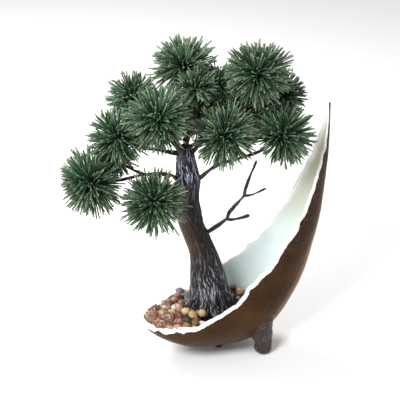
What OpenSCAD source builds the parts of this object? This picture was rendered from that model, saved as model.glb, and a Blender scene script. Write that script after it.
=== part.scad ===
// Artificial pine bonsai in a crescent pot.
// The origin is on the ground, under the belly of the pot. +X points to the pot's tall tip,
// +Y to the back and +Z up. Millimetres.

/* [Pot] */
// Height of the tall tip above the ground
pot_h = 347; // [280:1:420]
// Reach of the tall tip to the right
tip_reach = 151; // [126:1:182]
// Reach of the low, round end to the left
bow_reach = 113; // [94:1:136]
// Full width of the pot at its widest place
pot_w = 123; // [110:1:150]
// Thickness of the brown shell
shell_wall = 5; // [3:0.5:8]
// Thickness of the white coat inside
lining_wall = 2; // [1:0.5:4]
// Height of the white coat on top of the rim
rim_coat = 2.5; // [1.5:0.5:4]
// Height of the rim where it is lowest
rim_low = 59; // [52:1:70]
// Rise of the rim at the round end
bow_lift = 3; // [0:0.5:6]
// Clearance between the ground and the belly
belly_clear = 8; // [5:0.5:12]

/* [Feet] */
// Diameter of the front and back feet
foot_d = 24; // [18:1:30]
// Distance of the front and back feet to the right of the origin
foot_x = 55; // [44:1:66]
// Spread between the front and back feet, centre to centre
foot_spread = 60; // [52:1:68]
// Diameter of the flat spot under each foot
foot_flat = 10; // [6:1:14]
// Diameter of the nub under the belly
nub_d = 12; // [9:1:24]

/* [Filling] */
// Level of the plaster
fill_z = 50; // [40:1:54]
// Gap between the plaster and the lining
fill_gap = 0.6; // [0.4:0.1:1.5]
// Diameter of the steel rod in the trunk
rod_d = 8; // [5:0.5:10]
// Length of the steel rod
rod_len = 95; // [80:1:120]
// Plaster left under the rod
rod_floor = 5; // [3:0.5:10]
// Clearance around the rod, each side
rod_gap = 0.25; // [0.1:0.05:0.5]

/* [Tree] */
// Height of the moulded trunk above the plaster
trunk_h = 256; // [210:1:310]
// Radius of the trunk at mid height
trunk_r = 16.5; // [14:0.5:20]
// Radius of the root flare
root_r = 35; // [30:0.5:38]
// Radius of a branch where it leaves the trunk
branch_r = 3.2; // [2.6:0.1:4]
// Radius of a wire where it enters a tuft
wire_r = 1.6; // [1.2:0.1:2]
// Clearance around a wire in its hole, each side
wire_gap = 0.2; // [0.1:0.05:0.4]
// Depth of the holes for the branches in the trunk
peg_len = 9; // [6:0.5:11]

/* [Needles] */
// Radius of a large tuft, to the tips of its needles
tuft_r = 42; // [36:1:48]
// Radius of the bound heart of a tuft
heart_r = 9; // [7:0.5:11]
// Depth of the socket in the heart
socket_len = 6; // [4:0.5:7]

/* [Pebbles] */
// Distance between pebbles
pebble_pitch = 13.4; // [10:0.1:16]
// Gap left between neighbouring pebbles
pebble_gap = 0.5; // [0.3:0.1:1]

/* [Hidden] */

brown = [0.26, 0.17, 0.11];
bark = [0.17, 0.12, 0.10];
wire_brown = [0.20, 0.13, 0.09];
pine = [0.10, 0.30, 0.16];
cream = [0.90, 0.94, 0.90];

// ---- the pot's two guiding curves, seen from the side -------------------------------------
belly_x = 7;                  // the lowest point of the shell
wide_x = 8;                   // the widest place of the rim
rim_low_x = -82;              // the lowest place of the rim
rim_bend = 1.18;              // how full the curve of the rim is
rim_waist = 0.45;             // how soon the rim narrows on its way up
rim_taper = 0.5;              // how slim it stays near the tip
bow_bend = 1.25;              // how shallow the round end is
spine_bend = 0.84;            // how full the curve of the back is
pair_bend = 2.5;              // how the rings fan out from the belly to the tip
left_rings = 11;
right_rings = 22;
rings = left_rings + right_rings;
cols = 18;
wall = shell_wall + lining_wall;

// A place on the rim, for k from 0 (lowest) to 90 (tip)
function rim_side(k) = [
    rim_low_x + (tip_reach - rim_low_x) * pow(sin(k), rim_bend),
    pot_h - (pot_h - rim_low) * pow(cos(k), rim_bend)];
// The angle k at a given x, and the height of the rim there
function rim_angle(x) = asin(pow((x - rim_low_x) / (tip_reach - rim_low_x), 1 / rim_bend));
function rim_height(x) = x < rim_low_x
    ? rim_low + bow_lift * pow((rim_low_x - x) / (rim_low_x + bow_reach), 2)
    : rim_side(rim_angle(x))[1];
wide_angle = rim_angle(wide_x);
wide_z = rim_height(wide_x);

// The rim's middle [x, z] at t from -1 (round end) to 1 (tip), for a surface set in by inset
function rim_mid(t, inset) = t < 0
    ? let (x = wide_x + (wide_x + bow_reach - inset) * sin(90 * t)) [x, rim_height(x)]
    : rim_side(wide_angle + (90 - wide_angle) * pow(t, pair_bend));
// The back of the outside at the same t, from the belly to the tip
function spine(t) = [belly_x + (tip_reach - belly_x) * pow(sin(90 * t), spine_bend),
    pot_h - (pot_h - belly_clear) * pow(cos(90 * t), spine_bend)];
function depth_at(t) = norm(spine(t) - rim_mid(t, 0));
// Where the right half of a set-in surface ends: where the pot is only as deep as the inset
function reach(inset, lo = 0.5, hi = 1, n = 24) = n == 0 ? lo
    : let (m = (lo + hi) / 2) depth_at(m) > inset ? reach(inset, m, hi, n - 1) : reach(inset, lo, m, n - 1);
// The bottom [x, z] of the ring at t of a surface set in by inset
function keel(t, inset) = t < 0
    ? let (end_z = rim_height(inset - bow_reach), low = belly_clear + inset)
        [belly_x + (belly_x + bow_reach - inset) * sin(90 * t),
            end_z - (end_z - low) * pow(cos(90 * t), bow_bend)]
    : let (s = spine(t), d = rim_mid(t, 0) - s) s + d / max(norm(d), 0.001) * inset;
// Half the width of the ring at t
function half_width(t, inset) = t < 0
    ? (pot_w / 2 - inset) * cos(90 * t)
    : let (q = (rim_mid(t, 0)[1] - wide_z) / (pot_h - wide_z),
           w = pot_w / 2 * pow(max(0, 1 - pow(max(0, q), rim_waist)), rim_taper) - inset,
           close = t / reach(inset))
        max(w, 0) * sqrt(max(0, 1 - pow(close, 8)));
// A point on a ring: phi is 0 at the keel and 90 or -90 at the rim
function skin(t, phi, inset) = let (k = rim_mid(t, inset), s = keel(t, inset), w = half_width(t, inset))
    [k[0] + (s[0] - k[0]) * cos(phi), w * sin(phi), k[1] + (s[1] - k[1]) * cos(phi)];
// The ring number i as a place t along the pot
function ring_t(i, inset) = i < left_rings ? -1 + i / left_rings
    : reach(inset) * pow((i - left_rings) / right_rings, 1.12);
// The angle phi that lies rim_coat below the rim
function coat_phi(t, inset) =
    acos(min(0.3, rim_coat / max(1, norm(keel(t, inset) - rim_mid(t, inset)))));
// A row of points across ring i, from the front rim to the back rim
function row(i, inset, top) = let (t = ring_t(i, inset), end = top == 0 ? 90 : coat_phi(t, inset))
    [for (j = [0:cols]) skin(t, end * (2 * j / cols - 1), inset)];
function end_point(i, inset) = skin(i == 0 ? -1 : reach(inset), 0, inset);
function reversed(v) = [for (i = [len(v) - 1:-1:0]) v[i]];

// The two triangles between four corners, split along the shorter diagonal
function patch(pts, a, b, c, d) = norm(pts[b] - pts[c]) < norm(pts[a] - pts[d])
    ? [[a, c, b], [b, c, d]] : [[a, c, d], [a, d, b]];
function tube_faces(pts, m, n) = [for (i = [0:n - 2], j = [0:m - 1])
    let (a = i * m + j, b = i * m + (j + 1) % m) each patch(pts, a, b, a + m, b + m)];

// Lofts closed loops, one for each ring. pole gives, for each point of the loop, the end point that
// it runs into, and ends lists the end points of the left and of the right.
module loft(loops, pole, ends_left, ends_right) {
    m = len(pole);
    n = len(loops);
    count = n * m;
    points = concat([for (l = loops) each l], ends_left, ends_right);
    left = [for (j = [0:m - 1]) let (b = (j + 1) % m, p = count + pole[j], q = count + pole[b])
        each p == q ? [[j, b, p]] : [[j, b, p], [b, q, p]]];
    base = (n - 1) * m;
    first = count + len(ends_left);
    right = [for (j = [0:m - 1]) let (b = (j + 1) % m, p = first + pole[j], q = first + pole[b])
        each p == q ? [[base + b, base + j, p]] : [[base + b, base + j, p], [base + b, p, q]]];
    polyhedron(points, concat(tube_faces(points, m, n), left, right));
}

// A layer of the pot between two insets
module layer(inset_out, inset_in) {
    loops = [for (i = [1:rings - 1]) concat(row(i, inset_out, 1), reversed(row(i, inset_in, 1)))];
    pole = [for (j = [0:2 * cols + 1]) j <= cols ? 0 : 1];
    loft(loops, pole,
        [end_point(0, inset_out), end_point(0, inset_in)],
        [end_point(rings, inset_out), end_point(rings, inset_in)]);
}

module pot_shell() {
    color(brown) layer(0, shell_wall);
}

// The white coat lies on the shell's inside and folds over its rim
module pot_lining() {
    loops = [for (i = [1:rings - 1]) let (out = row(i, 0, 0), lip = row(i, 0, 1))
        concat([out[0], lip[0]], row(i, shell_wall, 1), [lip[cols], out[cols]],
            reversed(row(i, wall, 0)))];
    pole = [for (j = [0:2 * cols + 5]) j < 2 ? 0 : j < cols + 3 ? 1 : j < cols + 5 ? 0 : 2];
    color(cream) loft(loops, pole,
        [end_point(0, 0), end_point(0, shell_wall), end_point(0, wall)],
        [end_point(rings, 0), end_point(rings, shell_wall), end_point(rings, wall)]);
}

// ---- feet -----------------------------------------------------------------------------------
foot_tall = 70;               // long enough to reach the shell before it is trimmed
foot_round = 7;               // radius of the rounded bottom edge
nub_flat = 0.6;               // flat spot under the nub, as a share of its diameter

// Everything above the outside of the shell, where the feet meet it
module above_shell() {
    skip = 2;
    lift = [0, 0, 2 * foot_tall];
    low = [for (i = [left_rings - 5:left_rings + 15]) let (r = row(i, 0, 1))
        [for (j = [skip:cols - skip]) r[j]]];
    loops = [for (l = low) concat(l, reversed([for (p = l) p + lift]))];
    points = [for (l = loops) each l];
    last = cols - 2 * skip;
    m = 2 * last + 2;
    base = (len(loops) - 1) * m;
    ends = [for (j = [0:last - 1]) let (k = m - 1 - j)
        each concat([[j, j + 1, k], [j + 1, k - 1, k]],
            [[base + j + 1, base + j, base + k], [base + j + 1, base + k, base + k - 1]])];
    polyhedron(points, concat(tube_faces(points, m, len(loops)), ends));
}

// A turned stub with a flat spot and a rounded edge underneath
module stub(d, flat, tall) {
    edge = (d - flat) / 2;
    arc = [for (a = [0:15:90]) [flat / 2 + edge * sin(a), foot_round * (1 - cos(a))]];
    rotate_extrude($fn = 48) polygon(concat([[0, 0]], arc, [[d / 2, tall], [0, tall]]));
}

module cemented(x, y, d, flat, tall) {
    difference() {
        translate([x, y, 0]) stub(d, flat, tall);
        above_shell();
    }
}

module foot_front() {
    color(brown) cemented(foot_x, -foot_spread / 2, foot_d, foot_flat, foot_tall);
}

module foot_back() {
    color(brown) cemented(foot_x, foot_spread / 2, foot_d, foot_flat, foot_tall);
}

module foot_belly() {
    color(brown) cemented(0, 0, nub_d, nub_d * nub_flat, foot_tall);
}

// ---- plaster and rod ------------------------------------------------------------------------
plug_inset = wall + fill_gap;
rod_foot = [-8, 0, belly_clear + wall + rod_floor];
rod_lean = -7;                // degrees from upright, to the left

// The angle phi at which ring t crosses the plaster's level
function level_phi(t, z, inset) = let (k = rim_mid(t, inset)[1], s = keel(t, inset)[1])
    acos(max(-1, min(1, (k - z) / (k - s))));
// The place along the pot where its keel comes up through level z, on the right
function shore(z, inset, lo = 0, hi = 0.9, n = 24) = n == 0 ? lo
    : let (m = (lo + hi) / 2)
        keel(m, inset)[1] < z ? shore(z, inset, m, hi, n - 1) : shore(z, inset, lo, m, n - 1);
function left_shore(z, inset) = let (end_z = rim_height(inset - bow_reach))
    -acos(pow((end_z - z) / (end_z - belly_clear - inset), 1 / bow_bend)) / 90;

module plaster_blank() {
    a = left_shore(fill_z, plug_inset);
    b = shore(fill_z, plug_inset);
    steps = 20;
    arc = 12;
    ts = [for (i = [1:steps - 1]) let (s = i / steps) a + (b - a) * (s * s * (3 - 2 * s))];
    loops = [for (t = ts) let (end = level_phi(t, fill_z, plug_inset))
        [for (j = [0:arc]) skin(t, end * (2 * j / arc - 1), plug_inset)]];
    loft(loops, [for (j = [0:arc]) 0], [skin(a, 0, plug_inset)], [skin(b, 0, plug_inset)]);
}

module rod_shape(d, len, from = 0) {
    translate(rod_foot) rotate([0, rod_lean, 0]) translate([0, 0, from]) cylinder(d = d, h = len, $fn = 48);
}

module plaster_plug() {
    color("white") difference() {
        plaster_blank();
        rod_shape(rod_d + 2 * rod_gap, rod_len, -0.5);
    }
}

module trunk_rod() {
    color("silver") rod_shape(rod_d, rod_len);
}

// ---- smooth curves and swept wires ------------------------------------------------------------
function unit(v) = v / norm(v);
function knot(p, i) = i < 0 ? 2 * p[0] - p[1]
    : i >= len(p) ? 2 * p[len(p) - 1] - p[len(p) - 2] : p[i];
// A place on the smooth curve through the points p, for s from 0 to 1
function curve(p, s) = let (n = len(p) - 1, i = min(n - 1, floor(s * n)), u = s * n - i,
    a = knot(p, i - 1), b = p[i], c = p[i + 1], d = knot(p, i + 2))
    0.5 * (2 * b + (c - a) * u + (2 * a - 5 * b + 4 * c - d) * u * u
        + (3 * b - a - 3 * c + d) * u * u * u);
function place(v) = [v[0], v[1], v[2]];
function ring_round(c, dir, r, sides, ref) = let (a = unit(cross(ref, dir)), b = unit(cross(dir, a)))
    [for (k = [0:sides - 1]) c + r * (cos(360 * k / sides) * a + sin(360 * k / sides) * b)];

// Sweeps a round section along a path of [x, y, z, radius]
module sweep(path, per_span, sides, ref) {
    n = (len(path) - 1) * per_span;
    at = [for (i = [0:n]) curve(path, i / n)];
    loops = [for (i = [0:n]) let (dir = place(at[min(n, i + 1)]) - place(at[max(0, i - 1)]))
        ring_round(place(at[i]), dir, at[i][3], sides, ref)];
    loft(loops, [for (j = [0:sides - 1]) 0], [place(at[0])], [place(at[n])]);
}

module wire(path) {
    sweep(path, 3, 8, [0.31, 0.87, -0.38]);
}

// ---- trunk ------------------------------------------------------------------------------------
root = [-11, 0, fill_z];
// Bend, height and thickness at a few places: offset to the right, share of the height, share of
// the radius
trunk_shape = [[0, 0, root_r / trunk_r], [-2, 0.1, 1.82], [-7, 0.27, 1.42], [-13, 0.39, 1.12],
    [-24, 0.51, 1], [-31, 0.61, 1.05], [-34, 0.71, 1], [-33, 0.82, 0.96], [-35, 0.92, 0.76],
    [-37, 1, 0.5]];
trunk_path = [for (p = trunk_shape) [root[0] + p[0], 0, fill_z + p[1] * trunk_h, p[2] * trunk_r]];
heights = [for (i = [0:len(trunk_shape) - 1]) [trunk_shape[i][1], i / (len(trunk_shape) - 1)]];
// The middle of the trunk and its radius, where f is a share of the height
function trunk_at(f) = curve(trunk_path, lookup(f, heights));

buttresses = 5;
buttress_rise = 0.05;         // how far a buttress stands out, as a share of the radius
// The outline of the root is not round: a few buttresses run down into the bed
function trunk_ring(i, n, sides) = let (f = i / n, c = trunk_at(f),
        below = trunk_at(max(0, f - 0.02)), above = trunk_at(min(1, f + 0.02)),
        dir = i == 0 ? [0, 0, 1] : place(above) - place(below),
        a = unit(cross([0, 1, 0], dir)), b = unit(cross(dir, a)))
    [for (k = [0:sides - 1]) let (w = 360 * k / sides,
            r = c[3] * (1 + buttress_rise * pow(1 - f, 2) * cos(buttresses * w + 40)))
        place(c) + r * (cos(w) * a + sin(w) * b)];

module trunk_blank() {
    n = 40;
    sides = 20;
    loops = [for (i = [0:n]) trunk_ring(i, n, sides)];
    loft(loops, [for (j = [0:sides - 1]) 0], [place(trunk_at(0))], [place(trunk_at(1))]);
}

// ---- branches ---------------------------------------------------------------------------------
// Each branch starts peg_len inside the trunk, runs straight out of its hole, and then bends. f is the
// height on the trunk as a share, aim the direction of the hole, and bends the places after it, from the
// middle of the trunk at f.
function out_of(f, aim) = place(trunk_at(f)) + unit(aim) * (trunk_at(f)[3] - peg_len);
function branch_path(f, aim, bends, r0, r1) = let (c = place(trunk_at(f)), s = out_of(f, aim),
    d = unit(aim), n = len(bends) + 2,
    all = concat([s, s + d * peg_len / 2, s + d * (peg_len + 2)], [for (b = bends) c + b]))
    [for (i = [0:n]) [all[i][0], all[i][1], all[i][2],
        i < 3 ? r0 : r0 + (r1 - r0) * (i - 2) / (n - 2)]];
// A side wire that leaves a branch at its point number i
function side_path(path, i, bends, r0, r1) = let (s = place(path[i]), n = len(bends),
    all = concat([s], [for (b = bends) s + b]))
    [for (k = [0:n]) [all[k][0], all[k][1], all[k][2], r0 + (r1 - r0) * k / n]];
function tip_of(path) = place(path[len(path) - 1]);
function tip_dir(path) = unit(place(curve(path, 1)) - place(curve(path, 0.97)));

mid_r = (branch_r + wire_r) / 2;

leader_path = branch_path(0.985, [0.1, 0, 1], [[2, 0, 14], [10, 2, 32], [16, 4, 50], [16, 0, 66],
    [14, -6, 80]], branch_r * 1.2, wire_r);
leader_top = side_path(leader_path, 5, [[-1, 12, 16], [-6, 32, 44]], mid_r, wire_r);
leader_back = side_path(leader_path, 4, [[16, 14, 18], [38, 20, 38]], mid_r, wire_r);

top_right_path = branch_path(0.945, [1, 0.05, 0.5], [[27, 3, 19], [45, 8, 38], [72, 6, 48], [86, -2, 70],
    [91, -14, 103]], branch_r, wire_r);
top_right_back = side_path(top_right_path, 5, [[18, 10, -2], [38, 18, 2], [64, 28, 8]], mid_r, wire_r);

top_left_path = branch_path(0.9, [-0.3, -1, 0.5], [[-10, -20, 20], [-24, -32, 46], [-44, -44, 78]],
    branch_r, wire_r);
top_left_back = side_path(top_left_path, 3, [[-20, 20, 26], [-51, 50, 62]], mid_r, wire_r);

left_high_path = branch_path(0.955, [-1, 0, 0.15], [[-28, 0, 6], [-48, 0, 12], [-66, -6, 18],
    [-88, -14, 33]], branch_r, wire_r);
left_high_back = side_path(left_high_path, 3, [[-6, 24, 6], [2, 60, 18]], mid_r, wire_r);

left_low_path = branch_path(0.8, [-1, -0.2, 0.5], [[-28, -7, 16], [-60, -14, 22], [-92, -18, 20],
    [-126, -20, 20]], branch_r, wire_r);
left_low_front = side_path(left_low_path, 3, [[-12, -20, -6], [-29, -50, -14]], mid_r, wire_r);
left_low_high = side_path(left_low_path, 4, [[-16, 10, 6], [-29, 28, 12]], mid_r, wire_r);

right_path = branch_path(0.77, [1, -0.15, 0.75], [[32, -5, 25], [44, -10, 33], [75, -14, 41], [97, -17, 49],
    [120, -20, 65]], branch_r, wire_r);
right_front = side_path(right_path, 4, [[-6, -14, 22], [-5, -30, 47]], mid_r, wire_r);

back_path = branch_path(0.87, [0.15, 1, 0.25], [[8, 34, 10], [16, 52, 22], [38, 75, 42]], branch_r, wire_r);
back_right = side_path(back_path, 3, [[26, 14, 14], [58, 30, 28], [84, 36, 36]], mid_r, wire_r);

twig_path = branch_path(0.475, [1, 0, 0.45], [[31, 0, 16], [41, 0, 23], [46, 0, 33], [56, 0, 44],
    [65, 0, 54], [68, 0, 66], [73, -1, 82], [81, -4, 105]], branch_r * 0.95, branch_r * 0.6);
twig_stub = side_path(twig_path, 4, [[8, 0, -2], [20, 0, -1], [33, -1, 2]], branch_r * 0.75, branch_r * 0.75);
twig_side = side_path(twig_path, 7, [[10, 0, 0], [20, 0, 3], [31, -1, 8]], branch_r * 0.55, wire_r * 0.9);

module fork(paths) {
    color(wire_brown) union() {
        for (p = paths) wire(p);
    }
}

module leader() fork([leader_path, leader_top, leader_back]);
module branch_top_right() fork([top_right_path, top_right_back]);
module branch_top_left() fork([top_left_path, top_left_back]);
module branch_left_high() fork([left_high_path, left_high_back]);
module branch_left_low() fork([left_low_path, left_low_front, left_low_high]);
module branch_right() fork([right_path, right_front]);
module branch_back() fork([back_path, back_right]);
module bare_twig() fork([twig_path, twig_stub, twig_side]);

main_paths = [leader_path, top_right_path, top_left_path, left_high_path, left_low_path, right_path,
    back_path, twig_path];

// Points the Z axis along dir, at p
module aim(p, dir) {
    translate(p) rotate([0, acos(dir[2] / norm(dir)), atan2(dir[1], dir[0])]) children();
}

module trunk() {
    color(bark) difference() {
        trunk_blank();
        rod_shape(rod_d + 2 * rod_gap, rod_len + 1, -0.5);
        for (p = main_paths) {
            dir = place(p[1]) - place(p[0]);
            aim(place(p[0]) - unit(dir) * 0.5, dir)
                cylinder(r = p[0][3] + wire_gap, h = 3 * peg_len, $fn = 32);
        }
    }
}

// ---- needle tufts -----------------------------------------------------------------------------
// The needles stand on the faces of a ball made from an icosahedron, each face split in four
gold = (1 + sqrt(5)) / 2;
ico_points = [for (a = [-1, 1], b = [-gold, gold]) each [[0, a, b], [a, b, 0], [b, 0, a]]];
function near(a, b) = norm(a - b) < 2.1;
ico_faces = [for (a = [0:9], b = [a + 1:10], c = [b + 1:11])
    let (p = ico_points[a], q = ico_points[b], r = ico_points[c])
    if (near(p, q) && near(q, r) && near(p, r)) cross(q - p, r - p) * p > 0 ? [a, c, b] : [a, b, c]];
function split(f) = let (a = ico_points[f[0]], b = ico_points[f[2]], c = ico_points[f[1]])
    [[a, a + b, c + a], [b, b + c, a + b], [c, c + a, b + c], [a + b, b + c, c + a]];
ball_faces = [for (f = ico_faces) each [for (g = split(f)) [for (p = g) unit(p)]]];
bare_cone = 32;               // degrees around the wire that carry no needles

module tuft(path, r) {
    centre = tip_of(path) + tip_dir(path) * (heart_r - socket_len);
    back = -tip_dir(path);
    faces = [for (k = [0:len(ball_faces) - 1]) let (f = ball_faces[k], m = unit(f[0] + f[1] + f[2]),
            reach = r * (0.93 + 0.07 * sin(k * 137.5)), h = [for (p = f) p * heart_r])
        each m * back > cos(bare_cone) ? [h]
            : [[h[0], h[1], m * reach], [h[1], h[2], m * reach], [h[2], h[0], m * reach]]];
    color(pine) difference() {
        translate(centre) polyhedron([for (f = faces) each f],
            [for (i = [0:len(faces) - 1]) [3 * i, 3 * i + 2, 3 * i + 1]]);
        aim(tip_of(path) - back * 0.3, back)
            cylinder(r = wire_r + wire_gap, h = heart_r, $fn = 24);
    }
}

small = 0.62;
medium = 0.8;
full = 0.95;
module tuft_top() tuft(leader_top, tuft_r * full);
module tuft_top_right() tuft(top_right_path, tuft_r);
module tuft_top_mid() tuft(leader_path, tuft_r * small);
module tuft_crown_back() tuft(leader_back, tuft_r * small);
module tuft_top_left() tuft(top_left_path, tuft_r * full);
module tuft_left_back() tuft(top_left_back, tuft_r * medium);
module tuft_left_high() tuft(left_high_path, tuft_r * full);
module tuft_left_under() tuft(left_low_high, tuft_r * small);
module tuft_far_left() tuft(left_low_path, tuft_r);
module tuft_front_left() tuft(left_low_front, tuft_r * full);
module tuft_centre() tuft(right_front, tuft_r * full);
module tuft_right() tuft(right_path, tuft_r * full);
module tuft_right_back() tuft(top_right_back, tuft_r * medium);
module tuft_back_mid() tuft(back_path, tuft_r * full);
module tuft_back_right() tuft(back_right, tuft_r * full);
module tuft_back_left() tuft(left_high_back, tuft_r * full);

// ---- pebbles ----------------------------------------------------------------------------------
layer_rise = 0.78;            // height of a layer of pebbles, as a share of their pitch
function noise(i) = let (s = sin(i * 127.1 + 31.7) * 437.585) s - floor(s);
layers = 3;
function layer_z(l) = fill_z + (0.42 + l * layer_rise) * pebble_pitch;
// Half the width of the bowl along X, at the underside of each layer
bed_edges = [for (l = [0:layers - 1]) let (z = layer_z(l) - 0.3 * pebble_pitch)
    [for (i = [0:40]) let (t = -0.98 + 1.75 * i / 40, p = skin(t, level_phi(t, z, wall), wall))
        [p[0], keel(t, wall)[1] < z ? p[1] : 0]]];
function near_trunk(x, y, z) = let (c = trunk_at(max(0, (z - fill_z) / trunk_h)))
    norm([x - c[0], y]) - c[3] * 1.06;

// How the kinds are mixed: pairs of a running share and the kind's number
russet_mix = [[0.72, 0], [0.86, 1], [0.93, 2], [1, 4]];
sandy_mix = [[0.3, 1], [0.5, 2], [0.7, 0], [0.88, 3], [1, 4]];
olive_mix = [[0.5, 3], [0.7, 1], [0.85, 2], [0.93, 0], [1, 4]];
function pick(mix, v) = [for (m = mix) if (v <= m[0]) m[1]][0];
russet_end = -52;             // russet stones lie left of here
sandy_end = -9;               // and olive ones right of here
top_layer_x = 71;             // the second layer thins out at the rising wall

// All places for pebbles: [x, y, z, number, kind]
places = [for (l = [0:layers - 1], i = [-10:9], j = [-6:6]) let (
        n = 1000 * l + 31 * i + j + 400,
        x = (i + (j % 2 == 0 ? 0 : 0.5) + 0.5 * (l % 2)) * pebble_pitch,
        y = (j * sqrt(3) / 2 + 0.577 * (l % 2)) * pebble_pitch,
        z = layer_z(l),
        room = min([for (side = [-0.5, 0, 0.5]) lookup(x + side * pebble_pitch, bed_edges[l])]) - abs(y),
        from_trunk = near_trunk(x, y, z - 0.3 * pebble_pitch))
    if (room > 0.62 * pebble_pitch && from_trunk > 0.6 * pebble_pitch
        && (l == 0 || (l == 1 && room > 0.9 * pebble_pitch && x < top_layer_x)
            || (l == 2 && from_trunk < 1.4 * pebble_pitch)))
        [x, y, z, n, pick(x < russet_end ? russet_mix : x < sandy_end ? sandy_mix : olive_mix, noise(n))]];

module pebble(p) {
    d = pebble_pitch - pebble_gap;
    wide = d / 2 * (0.86 + 0.14 * noise(p[3] + 7));
    deep = d / 2 * (0.8 + 0.2 * noise(p[3] + 13));
    high = d / 2 * (0.66 + 0.16 * noise(p[3] + 19));
    turn = 360 * noise(p[3] + 23);
    points = [for (q = ico_points) let (u = unit(q)) [wide * u[0], deep * u[1], high * u[2]]];
    translate(place(p)) rotate([0, 0, turn]) polyhedron(points, ico_faces);
}

module pebbles(kind, tone) {
    color(tone) for (p = places) if (p[4] == kind) pebble(p);
}

module pebbles_russet() pebbles(0, [0.45, 0.22, 0.12]);
module pebbles_tan() pebbles(1, [0.72, 0.56, 0.36]);
module pebbles_slate() pebbles(2, [0.22, 0.22, 0.23]);
module pebbles_olive() pebbles(3, [0.42, 0.42, 0.32]);
module pebbles_white() pebbles(4, [0.88, 0.86, 0.80]);

pot_shell();
pot_lining();
foot_front();
foot_back();
foot_belly();
plaster_plug();
trunk_rod();
trunk();
leader();
branch_top_right();
branch_top_left();
branch_left_high();
branch_left_low();
branch_right();
branch_back();
bare_twig();
tuft_top();
tuft_top_right();
tuft_top_mid();
tuft_crown_back();
tuft_top_left();
tuft_left_back();
tuft_left_high();
tuft_left_under();
tuft_far_left();
tuft_front_left();
tuft_centre();
tuft_right();
tuft_right_back();
tuft_back_mid();
tuft_back_right();
tuft_back_left();
pebbles_russet();
pebbles_tan();
pebbles_slate();
pebbles_olive();
pebbles_white();
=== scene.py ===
# %% [markdown]
# # An artificial pine bonsai in a crescent pot
# The real ornament is a moulded plastic trunk with wire branches, round tufts of plastic needles, and
# a bed of pebbles in a tall crescent pot, brown outside and white inside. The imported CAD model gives
# every size. This script builds the finished surface of each piece around it, in metres, with the
# origin on the ground under the pot's belly, +X to the tall tip, +Y to the back and +Z up.

# %% Load the frame
import math
import random

import bmesh
import bpy
from mathutils import Matrix, Vector, bvhtree, noise


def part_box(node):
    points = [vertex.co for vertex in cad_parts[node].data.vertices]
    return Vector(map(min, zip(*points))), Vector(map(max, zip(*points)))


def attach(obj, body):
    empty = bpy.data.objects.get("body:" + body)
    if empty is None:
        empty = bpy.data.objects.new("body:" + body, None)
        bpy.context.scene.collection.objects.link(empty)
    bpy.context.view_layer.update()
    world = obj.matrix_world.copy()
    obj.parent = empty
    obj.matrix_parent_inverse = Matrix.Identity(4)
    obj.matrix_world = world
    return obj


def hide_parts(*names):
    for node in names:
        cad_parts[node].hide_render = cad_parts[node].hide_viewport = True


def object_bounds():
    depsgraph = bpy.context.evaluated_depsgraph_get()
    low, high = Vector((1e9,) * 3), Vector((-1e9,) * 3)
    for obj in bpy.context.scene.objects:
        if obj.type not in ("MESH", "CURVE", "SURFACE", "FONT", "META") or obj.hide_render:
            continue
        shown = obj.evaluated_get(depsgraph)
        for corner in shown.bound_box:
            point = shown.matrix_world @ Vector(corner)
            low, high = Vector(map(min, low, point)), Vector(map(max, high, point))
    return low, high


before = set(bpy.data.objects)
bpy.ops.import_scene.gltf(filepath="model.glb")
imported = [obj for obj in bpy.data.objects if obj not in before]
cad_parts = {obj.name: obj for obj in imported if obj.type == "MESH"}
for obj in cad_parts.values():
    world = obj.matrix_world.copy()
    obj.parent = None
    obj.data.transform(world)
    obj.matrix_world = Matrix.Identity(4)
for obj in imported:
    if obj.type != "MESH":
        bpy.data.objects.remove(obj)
cad_low, cad_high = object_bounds()
scene = bpy.context.scene
mm = 0.001
print("CAD box", cad_low, cad_high, "nodes", len(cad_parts))

# %% [markdown]
# Most pieces here are bent sheets: the pot's walls, the trunk, a wire and a foot are each a flat
# grid that is rolled or curved into shape. So one helper makes a grid with Blender's own operator and
# lets a small function say where each point goes. The grid keeps its UV map, edges that meet are
# merged, and the normals are turned outwards at the end.

# %% A helper that bends a grid into a shape
def as_mesh(bm, name, smooth=False):
    """Turns the shape being built into a mesh, and frees it."""
    if smooth:
        for f in bm.faces:
            f.smooth = True
    mesh = bpy.data.meshes.new(name)
    bm.to_mesh(mesh)
    bm.free()
    return mesh


def bent_grid(name, rows, cols, place, notes=(), merge=1e-7):
    """A mesh from a grid: place(u, v) gives a point, or a point and the values of the notes."""
    bm = bmesh.new()
    bm.loops.layers.uv.new("UVMap")
    bmesh.ops.create_grid(bm, x_segments=rows, y_segments=cols, size=0.5, calc_uvs=True)
    layers = [bm.verts.layers.float.new(n) for n in notes]
    for v in bm.verts:
        made = place(v.co.x + 0.5, v.co.y + 0.5)
        v.co, values = (made[0], made[1:]) if notes else (made, ())
        for layer, value in zip(layers, values):
            v[layer] = value
    bmesh.ops.remove_doubles(bm, verts=bm.verts, dist=merge)
    bmesh.ops.recalc_face_normals(bm, faces=bm.faces)
    return as_mesh(bm, name, smooth=True)


def finish_piece(name, mesh, material, slot, *nodes):
    """Makes a mesh a piece of the ornament that stands for CAD nodes."""
    piece = bpy.data.objects.new(name, mesh)
    scene.collection.objects.link(piece)
    mesh.materials.clear()
    mesh.materials.append(material)
    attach(piece, "root")
    if nodes:
        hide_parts(*nodes)
    print(f"{name}: {len(mesh.polygons)} faces")
    return piece


def smooth_step(low, high, x):
    s = max(0.0, min(1.0, (x - low) / (high - low)))
    return s * s * (3 - 2 * s)


def rough(p, size, octaves=3):
    """Seeded unevenness from about -1 to 1, with bumps of about the given size."""
    return noise.fractal(p / size, 0.8, 2.0, octaves)


# %% [markdown]
# Every material is a node tree. A few short helpers keep the trees readable: one starts a material,
# one adds a node, and the others make the parts that come back often, which are a noise pattern on
# object coordinates, a colour ramp and a bump.

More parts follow.
